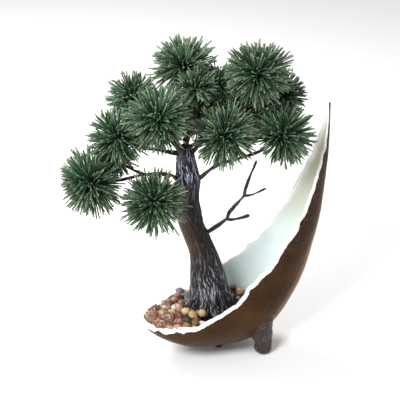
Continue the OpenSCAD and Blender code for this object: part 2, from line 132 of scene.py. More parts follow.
# %% Helpers for materials
class Finish:
    """A material with its Principled shader, and short ways to add nodes to it."""

    def __init__(self, name, roughness, **sockets):
        self.material = bpy.data.materials.new(name)
        self.material.use_nodes = True
        self.tree = self.material.node_tree
        self.shader = self.tree.nodes["Principled BSDF"]
        self.shader.inputs["Roughness"].default_value = roughness
        for socket, value in sockets.items():
            self.shader.inputs[socket.replace("_", " ")].default_value = value
        self.place = self.add("ShaderNodeTexCoord").outputs["Object"]

    def add(self, kind, **settings):
        node = self.tree.nodes.new(kind)
        for key, value in settings.items():
            setattr(node, key, value)
        return node

    def link(self, start, end):
        self.tree.links.new(start, end)

    def feed(self, socket, value):
        """Links a node's output to a socket, or sets the socket to a plain value."""
        if isinstance(value, bpy.types.NodeSocket):
            self.link(value, socket)
        else:
            socket.default_value = value

    def note(self, name):
        """A value kept on the mesh's own points."""
        return self.add("ShaderNodeAttribute", attribute_name=name).outputs["Fac"]

    def noise(self, size, detail=3, stretch=(1, 1, 1), place=None, rough_share=0.5):
        """A noise pattern with bumps of the given size in metres."""
        mapping = self.add("ShaderNodeMapping")
        mapping.inputs["Scale"].default_value = stretch
        self.link(place or self.place, mapping.inputs["Vector"])
        texture = self.add("ShaderNodeTexNoise")
        texture.inputs["Scale"].default_value = 1 / size
        texture.inputs["Detail"].default_value = detail
        texture.inputs["Roughness"].default_value = rough_share
        self.link(mapping.outputs["Vector"], texture.inputs["Vector"])
        return texture.outputs["Fac"]

    def grains(self, size, feature="F1", output="Color", spread=1.0):
        """A pattern of cells of the given size in metres."""
        texture = self.add("ShaderNodeTexVoronoi", feature=feature)
        texture.inputs["Scale"].default_value = 1 / size
        texture.inputs["Randomness"].default_value = spread
        self.link(self.place, texture.inputs["Vector"])
        return texture.outputs[output]

    def ramp(self, factor, *stops):
        """A colour ramp: each stop is a place from 0 to 1 and a colour or a grey."""
        ramp = self.add("ShaderNodeValToRGB").color_ramp
        while len(ramp.elements) < len(stops):
            ramp.elements.new(0.5)
        for element, (at, colour) in zip(ramp.elements, stops):
            element.position = at
            element.color = (colour,) * 3 + (1,) if isinstance(colour, (int, float)) else (*colour, 1)
        node = self.tree.nodes[-1]
        self.link(factor, node.inputs["Fac"])
        return node.outputs["Color"]

    def mix(self, factor, first, second, blend="MIX"):
        node = self.add("ShaderNodeMix", data_type="RGBA", blend_type=blend)
        self.feed(node.inputs["Factor"], factor)
        for socket, value in ((node.inputs["A"], first), (node.inputs["B"], second)):
            self.feed(socket, (*value, 1) if isinstance(value, tuple) and len(value) == 3 else value)
        return node.outputs["Result"]

    def sum(self, operation, first, second):
        node = self.add("ShaderNodeMath", operation=operation)
        self.feed(node.inputs[0], first)
        self.feed(node.inputs[1], second)
        return node.outputs["Value"]

    def bump(self, height, depth, strength=1.0):
        node = self.add("ShaderNodeBump")
        node.inputs["Strength"].default_value = strength
        node.inputs["Distance"].default_value = depth
        self.link(height, node.inputs["Height"])
        self.link(node.outputs["Normal"], self.shader.inputs["Normal"])

    def colour(self, value):
        self.feed(self.shader.inputs["Base Color"], (*value, 1) if isinstance(value, tuple) else value)

    def roughness(self, value):
        self.feed(self.shader.inputs["Roughness"], value)


# %% [markdown]
# ## The pot
# The pot is a crescent that is cut open along a long curve. Seen from the side it lies between two
# guiding curves, the rim and the keel, and its width closes to nothing at both ends. The same curves
# shape the CAD pot, so the finished surfaces follow it closely. Only at the very tip is the rim set in
# by a few millimetres more, so that the tip ends blunt. The overall sizes are read from the frame.

# %% The pot's guiding curves
shell_low, shell_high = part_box("pot_shell")
bow_reach, tip_reach = -shell_low.x, shell_high.x
pot_h, pot_w, belly_clear = shell_high.z, shell_high.y - shell_low.y, shell_low.z
wall = 7 * mm
rim_low, bow_lift = 59 * mm, 3 * mm
belly_x, wide_x, rim_low_x = 7 * mm, 8 * mm, -82 * mm
rim_bend, bow_bend, spine_bend, pair_bend = 1.18, 1.25, 0.84, 2.5
rim_waist, rim_taper = 0.45, 0.5
blunt_tip = 3.5 * mm                        # how far the rim is set in at the tip
paint_inset, hidden_inset, under_inset = 0.5 * mm, 4.8 * mm, 5.2 * mm
lap_inset = 0.8 * mm


def cos_of(turns):
    """The cosine of a share of a quarter turn, never below nothing."""
    return max(0.0, math.cos(math.pi / 2 * turns))


def rim_side(k):
    return (rim_low_x + (tip_reach - rim_low_x) * math.sin(k) ** rim_bend,
            pot_h - (pot_h - rim_low) * max(0.0, math.cos(k)) ** rim_bend)


def rim_angle(x):
    return math.asin(min(1.0, ((x - rim_low_x) / (tip_reach - rim_low_x)) ** (1 / rim_bend)))


def rim_height(x):
    if x < rim_low_x:
        return rim_low + bow_lift * ((rim_low_x - x) / (rim_low_x + bow_reach)) ** 2
    return rim_side(rim_angle(x))[1]


wide_angle, wide_z = rim_angle(wide_x), rim_height(wide_x)


def rim_mid(t, inset):
    """The middle of the rim at t from -1, the round end, to 1, the tip."""
    if t < 0:
        x = wide_x + (wide_x + bow_reach - inset) * math.sin(math.pi / 2 * t)
        return x, rim_height(x)
    x, z = rim_side(wide_angle + (math.pi / 2 - wide_angle) * t ** pair_bend)
    return x - blunt_tip * smooth_step(0.7, 0.97, t), z


def spine(t):
    return (belly_x + (tip_reach - belly_x) * math.sin(math.pi / 2 * t) ** spine_bend,
            pot_h - (pot_h - belly_clear) * cos_of(t) ** spine_bend)


def depth_at(t):
    return math.dist(spine(t), rim_mid(t, 0))


def reach(inset):
    """Where the tall end of a set-in surface closes."""
    low, high = 0.5, 1.0
    for _ in range(24):
        middle = (low + high) / 2
        low, high = (middle, high) if depth_at(middle) > inset else (low, middle)
    return low


reaches = {inset: reach(inset) for inset in (0, paint_inset, lap_inset, hidden_inset, under_inset, wall)}


def keel(t, inset):
    if t < 0:
        end_z, low = rim_height(inset - bow_reach), belly_clear + inset
        x = belly_x + (belly_x + bow_reach - inset) * math.sin(math.pi / 2 * t)
        return x, end_z - (end_z - low) * cos_of(t) ** bow_bend
    s, r = spine(t), rim_mid(t, 0)
    share = inset / max(math.dist(s, r), mm * 0.001)
    return s[0] + (r[0] - s[0]) * share, s[1] + (r[1] - s[1]) * share


def half_width(t, inset):
    if t < 0:
        return (pot_w / 2 - inset) * cos_of(t)
    q = (rim_mid(t, 0)[1] - wide_z) / (pot_h - wide_z)
    w = pot_w / 2 * max(0.0, 1 - max(0.0, q) ** rim_waist) ** rim_taper - inset
    close = min(1.0, t / reaches[inset])
    return max(w, 0) * math.sqrt(1 - close ** 8)


def skin(t, phi, inset):
    """A point on a ring of the pot: phi is 0 at the keel and a quarter turn at the rim."""
    k, s, w = rim_mid(t, inset), keel(t, inset), half_width(t, inset)
    c = max(0.0, math.cos(phi))
    p = Vector((k[0] + (s[0] - k[0]) * c, w * math.sin(phi), k[1] + (s[1] - k[1]) * c))
    up = Vector((k[0] - s[0], 0, k[1] - s[1]))
    side = 1 if phi > 0 else -1
    wave = noise.noise(Vector((k[0], side * 9, k[1])) / (19 * mm)) * 2.0
    wave += noise.noise(Vector((k[0], side * 30 * mm, k[1])) / (7 * mm)) * 1.1
    wave += 1.2 - 6 * abs(noise.noise(Vector((k[0], side * 70 * mm, k[1])) / (26 * mm)))
    strength = (math.sin(phi) ** 6 * smooth_step(3 * mm, 16 * mm, w)
                * smooth_step(tip_reach, 0.9 * tip_reach, k[0]))
    return p + up.normalized() * wave * strength * mm if strength > 0 else p


def ring_t(u, inset):
    """The ring at a share u of the pot's length; a third of it is the round end."""
    return u * 3 - 1 if u < 1 / 3 else reaches[inset] * (u * 1.5 - 0.5) ** 1.12


def below_rim(u, inset, length):
    """The angle phi that lies a length below the rim."""
    t = ring_t(u, inset)
    depth = max(mm, math.dist(keel(t, inset), rim_mid(t, inset)))
    return math.pi / 2 - min(1.1, length / depth)


print("pot", bow_reach, tip_reach, pot_h, pot_w, belly_clear)

# %% [markdown]
# The brown shell was moulded by hand, painted and varnished: it has soft dents and brush marks along
# its length, and a painted amber sheen, lighter along the spine on its tall half. Under the rim it keeps a
# rough strip with pale flecks. The strip and the painted sheen are marked on the mesh as notes, which the
# paint reads.

# %% The brown shell
shell_steps, inner_steps = 76, 24


def shell_point(u, v):
    across = v * (shell_steps + inner_steps)
    if across <= shell_steps:
        phi = below_rim(u, paint_inset, 1.3 * mm) * (2 * across / shell_steps - 1)
        p = skin(ring_t(u, paint_inset), phi, paint_inset)
    elif across > shell_steps + inner_steps - 0.5:
        phi = -below_rim(u, paint_inset, 1.3 * mm)
        p = skin(ring_t(u, paint_inset), phi, paint_inset)
    else:
        share = (across - shell_steps) / inner_steps
        phi = below_rim(u, hidden_inset, 2.0 * mm) * (1 - 2 * share)
        p = skin(ring_t(u, hidden_inset), phi, hidden_inset)
    t = ring_t(u, 0)
    depth = math.dist(keel(t, 0), rim_mid(t, 0))
    from_rim = depth * (1 - abs(phi) / (math.pi / 2)) * 1.4
    dent = rough(p, 42 * mm, 3) * 0.9 * mm + rough(p + Vector((3, 1, 2)), 9 * mm, 2) * 0.16 * mm
    along = 0.4 * smooth_step(0.42, 0.5, u) + 0.6 * smooth_step(0.82, 0.88, u)
    grit = smooth_step(13 * mm, 7 * mm, from_rim) * along * smooth_step(0.985, 0.965, u)
    if across <= shell_steps:
        k = rim_mid(t, 0)
        away = (p - Vector((k[0], 0, k[1]))).normalized()
        fade = smooth_step(0, 12 * mm, from_rim) * smooth_step(1, 0.9, u) * smooth_step(0, 0.06, u)
        p = p + away * (dent * fade - 0.25 * mm * fade)
        p = p + away * grit * rough(p, 2.2 * mm, 2) * 0.3 * mm
    # Painted sheen: a lighter amber towards the spine on the tall half of the shell.
    amber_sheen = smooth_step(0.36, 0.55, u) * smooth_step(0.95, 0.45, abs(phi))
    return p, from_rim / (10 * mm), amber_sheen, u, grit


shell_mesh = bent_grid("shell", 250, shell_steps + inner_steps, shell_point,
                       ("from_rim", "amber_sheen", "length", "grit"))
print("shell", len(shell_mesh.polygons))

# %% Brown paint
paint = Finish("pot_paint", 0.42, Specular_IOR_Level=0.12)
cloud = paint.noise(0.05, 4, (0.8, 1.2, 0.8))
streaks = paint.noise(0.012, 5, (0.35, 1, 1), rough_share=0.7)
browns = paint.ramp(cloud, (0.32, (0.018, 0.007, 0.001)), (0.5, (0.038, 0.015, 0.002)),
                    (0.68, (0.056, 0.023, 0.004)))
browns = paint.mix(paint.ramp(streaks, (0.45, 0.0), (0.72, 0.5)), browns, (0.075, 0.034, 0.013))
# Painted sheen: the amber laid along the spine, broken up by the brush streaks.
amber_sheen = paint.sum("MULTIPLY", paint.note("amber_sheen"), paint.sum("ADD", streaks, 0.35))
browns = paint.mix(paint.ramp(amber_sheen, (0.2, 0.0), (0.85, 0.85)), browns, (0.25, 0.11, 0.016))
flecks = paint.ramp(paint.grains(0.0016, output="Distance"), (0.12, 1.0), (0.22, 0.0))
fleck_places = paint.ramp(paint.noise(0.0045, 2), (0.46, 0.0), (0.54, 1.0))
fleck_share = paint.sum("MULTIPLY", paint.sum("MULTIPLY", flecks, fleck_places), paint.note("grit"))
browns = paint.mix(paint.sum("MULTIPLY", paint.note("grit"), 0.6), browns, (0.030, 0.017, 0.015))
browns = paint.mix(fleck_share, browns, (0.75, 0.62, 0.60))
stray = paint.ramp(paint.grains(0.011, output="Distance"), (0.045, 1.0), (0.065, 0.0))
stray_places = paint.ramp(paint.noise(0.03, 2), (0.56, 0.0), (0.6, 1.0))
browns = paint.mix(paint.sum("MULTIPLY", stray, stray_places), browns, (0.62, 0.55, 0.45))
paint.colour(browns)
paint.roughness(paint.ramp(streaks, (0.3, 0.34), (0.7, 0.52)))
paint.bump(paint.sum("ADD", streaks, paint.noise(0.0025, 3)), 0.0006, 0.5)
finish_piece("brown_shell", shell_mesh, paint.material, "pot_paint", "pot_shell")

# %% [markdown]
# The inside is coated in white that is brushed on thickly and folds over the rim. Its outer edge is
# ragged: it stops a few millimetres below the rim for most of the way and runs down further round
# the low end. The coat is one closed skin that goes over the rim, down the inside, over the other rim
# and back under itself. Inside it has a cool tint that turns to a pale straw colour near the tip.

# %% The white coat
lap_steps, rim_steps, inside_steps, under_steps = 8, 8, 52, 20
stations = ([("lap", -1, k / lap_steps) for k in range(lap_steps)]
            + [("rim", -1, k / rim_steps) for k in range(rim_steps)]
            + [("inside", 0, k / inside_steps) for k in range(inside_steps)]
            + [("rim", 1, 1 - k / rim_steps) for k in range(rim_steps)]
            + [("lap", 1, 1 - k / lap_steps) for k in range(lap_steps)]
            + [("under", 0, k / under_steps) for k in range(under_steps)])
stations.append(stations[0])


def lap_length(u, side):
    """How far the white runs down the outside: ragged, and longer round the low end."""
    p = Vector((u * 100, side * 3 * smooth_step(0, 0.05, u), 0))
    ragged = noise.fractal(p * 0.55, 0.6, 2.3, 4)
    low_end = 4.2 * smooth_step(0.30, 0.12, u)
    tip = 0.3 + 0.7 * smooth_step(1.0, 0.75, u)
    return (2.8 + low_end + (2.6 + 0.25 * low_end) * ragged) * tip * mm


def coat_point(u, v):
    kind, side, s = stations[round(v * (len(stations) - 1))]
    t_out, t_in = ring_t(u, 0), ring_t(u, wall)
    inner = 0.0
    if kind == "lap":
        phi = below_rim(u, 0, max(0.4 * mm, lap_length(u, side)) * (1 - s)) * side
        p = skin(t_out, phi, 0)
        k = rim_mid(t_out, 0)
        sink = 0.8 * smooth_step(0.3, 0, s) + 0.15
        p = p + (Vector((k[0], 0, k[1])) - p).normalized() * sink * mm
    elif kind == "rim":
        a, b = skin(t_out, side * math.pi / 2, 0), skin(t_in, side * math.pi / 2, wall)
        k, low = rim_mid(t_out, 0), keel(t_out, 0)
        down = Vector((low[0] - k[0], 0, low[1] - k[1]))
        down = down.normalized() if down.length > mm else Vector((0.4, 0, -0.9))
        corner = 1.5 * abs(2 * s - 1) ** 3
        lump = 0.9 * rough(a, 13 * mm, 3) + 0.45 * rough(a + Vector((0, 0, 5)), 4 * mm, 2)
        a = a.lerp(b, s)
        ends = smooth_step(0, 0.02, u) * smooth_step(1, 0.97, u)
        p = a + down * (corner + max(0.0, 0.5 + lump) * 0.8) * mm * (0.2 + 0.8 * ends)
    elif kind == "inside":
        phi = math.pi * (s - 0.5)
        p = skin(t_in, phi, wall)
        inner = smooth_step(0, 7 * mm, depth_at(max(0, t_in)) * (1 - abs(phi) * 2 / math.pi))
        k = rim_mid(t_in, wall)
        towards = Vector((k[0], 0, k[1])) - p
        if towards.length > 2 * mm:
            p = p + towards.normalized() * inner * rough(p, 24 * mm, 3) * 0.5 * mm
    else:
        end = below_rim(u, under_inset, 2.2 * mm)
        p = skin(ring_t(u, under_inset), end * (1 - 2 * s), under_inset)
        if s == 0:
            p = skin(t_out, below_rim(u, 0, 0.9 * mm), lap_inset)
    p.x = min(p.x, tip_reach)
    return p, inner, u


coat_mesh = bent_grid("coat", 400, len(stations) - 1, coat_point, ("inner", "length"))
print("coat", len(coat_mesh.polygons))

# %% White paint
white = Finish("white_coat", 0.45, Specular_IOR_Level=0.4)
brushing = white.noise(0.006, 4, (0.5, 1.3, 0.5), rough_share=0.6)
patches = white.noise(0.045, 3)
cool = white.ramp(patches, (0.35, (0.76, 0.86, 0.86)), (0.65, (0.83, 0.91, 0.90)))
straw = white.ramp(white.note("length"), (0.76, 0.0), (0.92, 1.0))
inside_tone = white.mix(straw, cool, (0.56, 0.55, 0.39))
tone = white.mix(white.note("inner"), (0.95, 0.95, 0.92), inside_tone)
specks = white.ramp(white.grains(0.008, output="Distance"), (0.05, 1.0), (0.09, 0.0))
speck_places = white.ramp(white.noise(0.02, 2), (0.58, 0.0), (0.64, 0.6))
tone = white.mix(white.sum("MULTIPLY", specks, speck_places), tone, (0.33, 0.34, 0.27))
white.colour(tone)
white.bump(white.sum("ADD", brushing, white.noise(0.0018, 2)), 0.0005, 0.5)
finish_piece("white_lining", coat_mesh, white.material, "white_coat", "pot_lining")

# %% [markdown]
# ## The feet
# The pot stands on rough stubs, rolled from the same paste as the shell and smeared onto it, so each
# one flares out where it joins. A ray straight up finds the shell over each point of a foot, and the
# side curves out to meet it. The lacquer on the feet is thick, pitted and glossy, with pale specks.

# %% The feet
shell_tree = bvhtree.BVHTree.FromPolygons([v.co for v in shell_mesh.vertices],
                                          [p.vertices for p in shell_mesh.polygons])


def shell_over(x, y):
    """The height of the shell's underside over a point on the ground."""
    hit = shell_tree.ray_cast(Vector((x, y, -0.01)), Vector((0, 0, 1)))[0]
    return hit.z if hit else 0.05


def foot_mesh(node, flat, radius, edge_high, flare):
    """A turned stub under the shell; flare is how far its top spreads over the shell."""
    low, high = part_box(node)
    cx, cy = (low.x + high.x) / 2, (low.y + high.y) / 2
    over = shell_over(cx, cy)

    def foot_point(u, v):
        angle = 2 * math.pi * u
        out = Vector((math.cos(angle), math.sin(angle), 0))
        joint = min(shell_over(cx + out.x * radius, cy + out.y * radius), over + 12 * mm)
        edge = min(edge_high, joint * 0.6)
        if v < 0.2:
            r, z = flat * v / 0.2, 0.0
        elif v < 0.45:
            a = (v - 0.2) / 0.25 * math.pi / 2
            r, z = flat + (radius - flat) * math.sin(a), edge * (1 - math.cos(a))
        else:
            q = (v - 0.45) / 0.55
            waist = Vector((cx, cy, edge + (joint - edge) * 0.3)) + out * radius
            corner = Vector((cx, cy, joint)) + out * radius
            spread = Vector((cx, cy, over)) + out * (radius + flare)
            spread.z = min(shell_over(spread.x, spread.y), over + 16 * mm)
            end, normal, _, _ = shell_tree.find_nearest(spread)
            end = end - normal * 0.6 * mm
            if q < 0.35:
                r, z = radius, edge + (waist.z - edge) * q / 0.35
            else:
                q = (q - 0.35) / 0.65
                p = waist * (1 - q) ** 2 + corner * 2 * q * (1 - q) + end * q * q
                return p + out * smooth_step(1, 0.6, q) * rough(p, 9 * mm, 2) * 1.2 * mm
        p = Vector((cx, cy, z)) + out * r
        body = smooth_step(0.15, 0.4, v)
        p = p + out * body * (rough(p, 9 * mm, 2) * 0.9 + rough(p, 3.4 * mm, 2) * 0.6) * mm
        return Vector((p.x, p.y, max(0.0, p.z)))

    return bent_grid(node, 72, 64, foot_point)


lacquer = Finish("foot_lacquer", 0.17, Specular_IOR_Level=0.5)
pits = lacquer.noise(0.0022, 4, rough_share=0.65)
lacquer_tone = lacquer.ramp(lacquer.noise(0.012, 4), (0.35, (0.016, 0.007, 0.005)),
                            (0.6, (0.040, 0.020, 0.014)), (0.75, (0.080, 0.048, 0.039)))
specks = lacquer.ramp(lacquer.grains(0.0018, output="Distance"), (0.15, 1.0), (0.3, 0.0))
speck_places = lacquer.ramp(lacquer.noise(0.005, 2), (0.5, 0.0), (0.6, 0.8))
lacquer.colour(lacquer.mix(lacquer.sum("MULTIPLY", specks, speck_places), lacquer_tone, (0.42, 0.36, 0.36)))
lacquer.bump(lacquer.sum("ADD", pits, lacquer.noise(0.005, 3)), 0.003, 1.0)
foot_low, foot_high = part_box("foot_front")
foot_r = (foot_high.x - foot_low.x) / 2
for node in ("foot_front", "foot_back"):
    finish_piece(node + "_stub", foot_mesh(node, 5 * mm, foot_r, 7 * mm, 9 * mm),
                 lacquer.material, "pot_paint", node)
nub_low, nub_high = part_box("foot_belly")
nub_r = (nub_high.x - nub_low.x) / 2
finish_piece("belly_nub", foot_mesh("foot_belly", nub_r * 0.6, nub_r, 4 * mm, 2 * mm),
             lacquer.material, "pot_paint", "foot_belly")

# %% [markdown]
# ## The trunk
# The trunk is a moulding with deep bark. Its middle line and thickness are the CAD trunk's: a few
# places with a bend, a height and a radius, joined by a smooth curve. The bark is real relief: long
# fibres that run up the trunk and wander a little, with furrows between them, finer at the root and
# nearly gone on the worn side in the middle.

# %% The trunk's middle line
plaster_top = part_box("plaster_plug")[1].z
trunk_low, trunk_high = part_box("trunk")
fill_z, trunk_h, trunk_r, root_r = 50 * mm, 256 * mm, 16.5 * mm, 35 * mm
root_x = -11 * mm
trunk_shape = [(0, 0, root_r / trunk_r), (-2, 0.1, 1.82), (-7, 0.27, 1.42), (-13, 0.39, 1.12),
               (-24, 0.51, 1), (-31, 0.61, 1.05), (-34, 0.71, 1), (-33, 0.82, 0.96), (-35, 0.92, 0.76),
               (-37, 1, 0.5)]
trunk_path = [Vector((root_x + bend * mm, 0, fill_z + share * trunk_h, thick * trunk_r))
              for bend, share, thick in trunk_shape]


def curve(points, s):
    """A place on the smooth curve through the points, for s from 0 to 1."""
    n = len(points) - 1
    i = max(0, min(n - 1, int(s * n)))
    u = s * n - i
    b, c = points[i], points[i + 1]
    a = points[i - 1] if i > 0 else 2 * b - c
    d = points[i + 2] if i + 2 <= n else 2 * c - b
    return 0.5 * (2 * b + (c - a) * u + (2 * a - 5 * b + 4 * c - d) * u * u
                  + (3 * b - a - 3 * c + d) * u ** 3)


def trunk_at(f):
    """The middle of the trunk and its radius, where f is a share of the height."""
    shares = [share for _, share, _ in trunk_shape]
    i = max(k for k in range(len(shares) - 1) if shares[k] <= max(0, f) or k == 0)
    s = (min(1, max(0, f)) - shares[i]) / (shares[i + 1] - shares[i])
    return curve(trunk_path, (i + s) / (len(shares) - 1))


print("trunk box", trunk_low, trunk_high, "top of the path", trunk_at(1))

# %% [markdown]
# ## The branches
# The branches are pairs of stiff wires, twisted together and dipped in dark brown plastic, so their
# section is a soft figure of eight that turns slowly. They start in drilled holes in the trunk. The
# routes below are the CAD branches' own: a height on the trunk, the direction of the hole and the
# bends after it, in millimetres from the middle of the trunk.

# %% Routes of the branches
peg_len, branch_r, wire_r = 9 * mm, 3.2 * mm, 1.6 * mm
mid_r = (branch_r + wire_r) / 2


def branch_path(f, aim, bends, r0, r1):
    middle = trunk_at(f)
    d = Vector(aim).normalized()
    start = middle.xyz + d * (middle.w - peg_len)
    points = [start, start + d * peg_len / 2, start + d * (peg_len + 2 * mm)]
    points += [middle.xyz + Vector(b) * mm for b in bends]
    n = len(points) - 1
    return [Vector((*p, r0 if i < 3 else r0 + (r1 - r0) * (i - 2) / (n - 2)))
            for i, p in enumerate(points)]


def side_path(path, i, bends, r0, r1):
    start = path[i].xyz
    points = [start] + [start + Vector(b) * mm for b in bends]
    n = len(points) - 1
    return [Vector((*p, r0 + (r1 - r0) * k / n)) for k, p in enumerate(points)]


leader = branch_path(0.985, (0.1, 0, 1), [(2, 0, 14), (10, 2, 32), (16, 4, 50), (16, 0, 66),
                                          (14, -6, 80)], branch_r * 1.2, wire_r)
leader_top = side_path(leader, 5, [(-1, 12, 16), (-6, 32, 44)], mid_r, wire_r)
leader_back = side_path(leader, 4, [(16, 14, 18), (38, 20, 38)], mid_r, wire_r)
top_right = branch_path(0.945, (1, 0.05, 0.5), [(27, 3, 19), (45, 8, 38), (72, 6, 48), (86, -2, 70),
                                                (91, -14, 103)], branch_r, wire_r)
top_right_back = side_path(top_right, 5, [(18, 10, -2), (38, 18, 2), (64, 28, 8)], mid_r, wire_r)
top_left = branch_path(0.9, (-0.3, -1, 0.5), [(-10, -20, 20), (-24, -32, 46), (-44, -44, 78)],
                       branch_r, wire_r)
top_left_back = side_path(top_left, 3, [(-20, 20, 26), (-51, 50, 62)], mid_r, wire_r)
left_high = branch_path(0.955, (-1, 0, 0.15), [(-28, 0, 6), (-48, 0, 12), (-66, -6, 18),
                                               (-88, -14, 33)], branch_r, wire_r)
left_high_back = side_path(left_high, 3, [(-6, 24, 6), (2, 60, 18)], mid_r, wire_r)
left_low = branch_path(0.8, (-1, -0.2, 0.5), [(-28, -7, 16), (-60, -14, 22), (-92, -18, 20),
                                              (-126, -20, 20)], branch_r, wire_r)
left_low_front = side_path(left_low, 3, [(-12, -20, -6), (-29, -50, -14)], mid_r, wire_r)
left_low_high = side_path(left_low, 4, [(-16, 10, 6), (-29, 28, 12)], mid_r, wire_r)
right = branch_path(0.77, (1, -0.15, 0.75), [(32, -5, 25), (44, -10, 33), (75, -14, 41),
                                             (97, -17, 49), (120, -20, 65)], branch_r, wire_r)
right_front = side_path(right, 4, [(-6, -14, 22), (-5, -30, 47)], mid_r, wire_r)
back = branch_path(0.87, (0.15, 1, 0.25), [(8, 34, 10), (16, 52, 22), (38, 75, 42)],
                   branch_r, wire_r)
back_right = side_path(back, 3, [(26, 14, 14), (58, 30, 28), (84, 36, 36)], mid_r, wire_r)
twig = branch_path(0.475, (1, 0, 0.45), [(31, 0, 16), (41, 0, 23), (46, 0, 33), (56, 0, 44),
                                         (65, 0, 54), (68, 0, 66), (73, -1, 82), (81, -4, 105)],
                   branch_r * 0.95, branch_r * 0.6)
twig_stub = side_path(twig, 4, [(8, 0, -2), (20, 0, -1), (33, -1, 2)], branch_r * 0.75,
                      branch_r * 0.75)
twig_side = side_path(twig, 7, [(10, 0, 0), (20, 0, 3), (31, -1, 8)], branch_r * 0.55, wire_r * 0.9)

branches = {
    "leader": [leader, leader_top, leader_back],
    "branch_top_right": [top_right, top_right_back],
    "branch_top_left": [top_left, top_left_back],
    "branch_left_high": [left_high, left_high_back],
    "branch_left_low": [left_low, left_low_front, left_low_high],
    "branch_right": [right, right_front],
    "branch_back": [back, back_right],
    "bare_twig": [twig, twig_stub, twig_side],
}
print("branches", len(branches))

# %% [markdown]
# The bark's relief comes after the branches, because it swells round each hole that a wire goes into.
# Two layers of stretched noise make the fibres, and the height of each point is kept as a note.

# %% Bark relief on the trunk
collars = [(path[2].xyz, path[0].w) for path, *_ in branches.values()]
turns_of_bark, twist = 12.5, 0.1
knot_at = trunk_at(0.93)
knot_place = knot_at.xyz + Vector((-1, -0.25, 0)).normalized() * knot_at.w


def fibres(angle, f, size, seed):
    """Long fibres round the trunk, from 0 in a furrow to 1 on a ridge."""
    wander = 0.35 * noise.noise(Vector((math.cos(angle) * 1.5, math.sin(angle) * 1.5, f * 9 + seed)))
    a = angle + wander + twist * f * 6
    p = Vector((math.cos(a) * size, math.sin(a) * size, f * 11 + seed))
    return 1 - min(1.0, abs(noise.noise(p)) * 2.6)


def worn(angle, f):
    """The smooth patch on the left of the middle, from 0 to 1."""
    side = smooth_step(-0.1, 0.75, math.cos(angle - math.pi * 1.02))
    return side * smooth_step(0.36, 0.46, f) * smooth_step(0.84, 0.74, f)


def bark_point(u, v):
    angle, f = 2 * math.pi * u, v
    c = trunk_at(f)
    below, above = trunk_at(f - 0.02), trunk_at(f + 0.02)
    along = (above.xyz - below.xyz).normalized() if f > 0 else Vector((0, 0, 1))
    a = Vector((0, 1, 0)).cross(along).normalized()
    b = along.cross(a)
    out = a * math.cos(angle) + b * math.sin(angle)
    radius = c.w * (1 + 0.05 * (1 - f) ** 2 * math.cos(5 * angle + math.radians(40)))
    p = c.xyz + out * radius
    coarse = fibres(angle, f, turns_of_bark, 0)
    fine = fibres(angle, f * 1.5, turns_of_bark * 1.9, 7)
    ridge = 0.65 * coarse + 0.35 * fine
    ridge = ridge * (1 - 0.8 * worn(angle, f)) + 0.45 * worn(angle, f)
    # Painted glint: the front-left side of the crown, facing the light, where the ridges get a painted
    # silvery blue reflection.
    glint_side = smooth_step(0.1, 0.7, math.cos(angle - math.pi * 1.42))
    silver = max(0.95 * smooth_step(0.52, 0.2, f), 1.5 * smooth_step(0.76, 0.86, f) * glint_side, 0.18)
    swell = sum(smooth_step(4.2 * r, 0.6 * r, (p - q).length) for q, r in collars)
    knot = 1.4 * smooth_step(5 * mm, 0, (p - knot_place).length)
    hump = rough(p, 30 * mm, 2) * 0.7
    depth = 1.3 + 0.5 * smooth_step(0.2, 0.0, f)
    p = p + out * ((ridge - 0.72) * depth + min(1.5, swell) + knot + hump - 0.3) * mm
    if f == 1 or f == 0:
        p = c.xyz.copy()
    p.z = max(p.z, fill_z)
    return p, ridge, f, silver, worn(angle, f)


trunk_mesh = bent_grid("trunk", 220, 430, bark_point, ("ridge", "height", "silver", "worn"))
print("trunk", len(trunk_mesh.polygons))

# %% [markdown]
# The bark is painted almost black and dry-brushed grey-pink near the root, where the silver on the
# ridges is partly a painted glint. Near the crown the front-left ridges get a painted silvery blue
# reflection, while the worn side stays a warm brown. The paint reads the relief's own note, so the
# brushed colour and the painted glints sit exactly on the ridges.

# %% Bark paint
bark = Finish("bark", 0.34, Specular_IOR_Level=0.16)
ridge = bark.note("ridge")
height = bark.note("height")
grain = bark.noise(0.0026, 4, (1, 1, 0.13), rough_share=0.6)
base = bark.ramp(bark.noise(0.02, 3, (1, 1, 0.4)), (0.35, (0.005, 0.006, 0.009)),
                 (0.65, (0.018, 0.013, 0.011)))
warm = bark.ramp(grain, (0.3, (0.030, 0.012, 0.004)), (0.7, (0.085, 0.038, 0.013)))
tone = bark.mix(bark.note("worn"), base, warm)
# Where the dry-brushed silver and the painted glints go: the ridges, broken up by the grain.
brushed_and_glint = bark.sum("MULTIPLY", bark.ramp(ridge, (0.45, 0.0), (0.80, 1.0)),
                   bark.ramp(grain, (0.42, 0.0), (0.58, 1.0)))
# Brushed silver and painted glints by height: grey-pink at the root, then blue-grey and brown, and a
# painted sky-blue reflection at the crown.
silver = bark.ramp(height, (0.0, (0.38, 0.345, 0.345)), (0.3, (0.40, 0.40, 0.48)),
                   (0.6, (0.28, 0.22, 0.18)), (0.85, (0.62, 0.70, 0.90)))
tone = bark.mix(bark.sum("MULTIPLY", brushed_and_glint, bark.note("silver")), tone, silver)
# Painted shade: the furrows, low in the relief, are darkened to near black.
tone = bark.mix(bark.ramp(ridge, (0.05, 1.0), (0.4, 0.0)), tone, (0.004, 0.004, 0.005))
bark.colour(tone)
bark.bump(grain, 0.0011, 0.9)
finish_piece("bark_trunk", trunk_mesh, bark.material, "bark", "trunk")

# %% [markdown]
# A wire is a grid rolled into a tube round its route. The tube's section is the outline of two round
# strands side by side, and it turns as the tube runs on, which twists the pair.

# %% The twisted wires
twist_pitch = 70 * mm


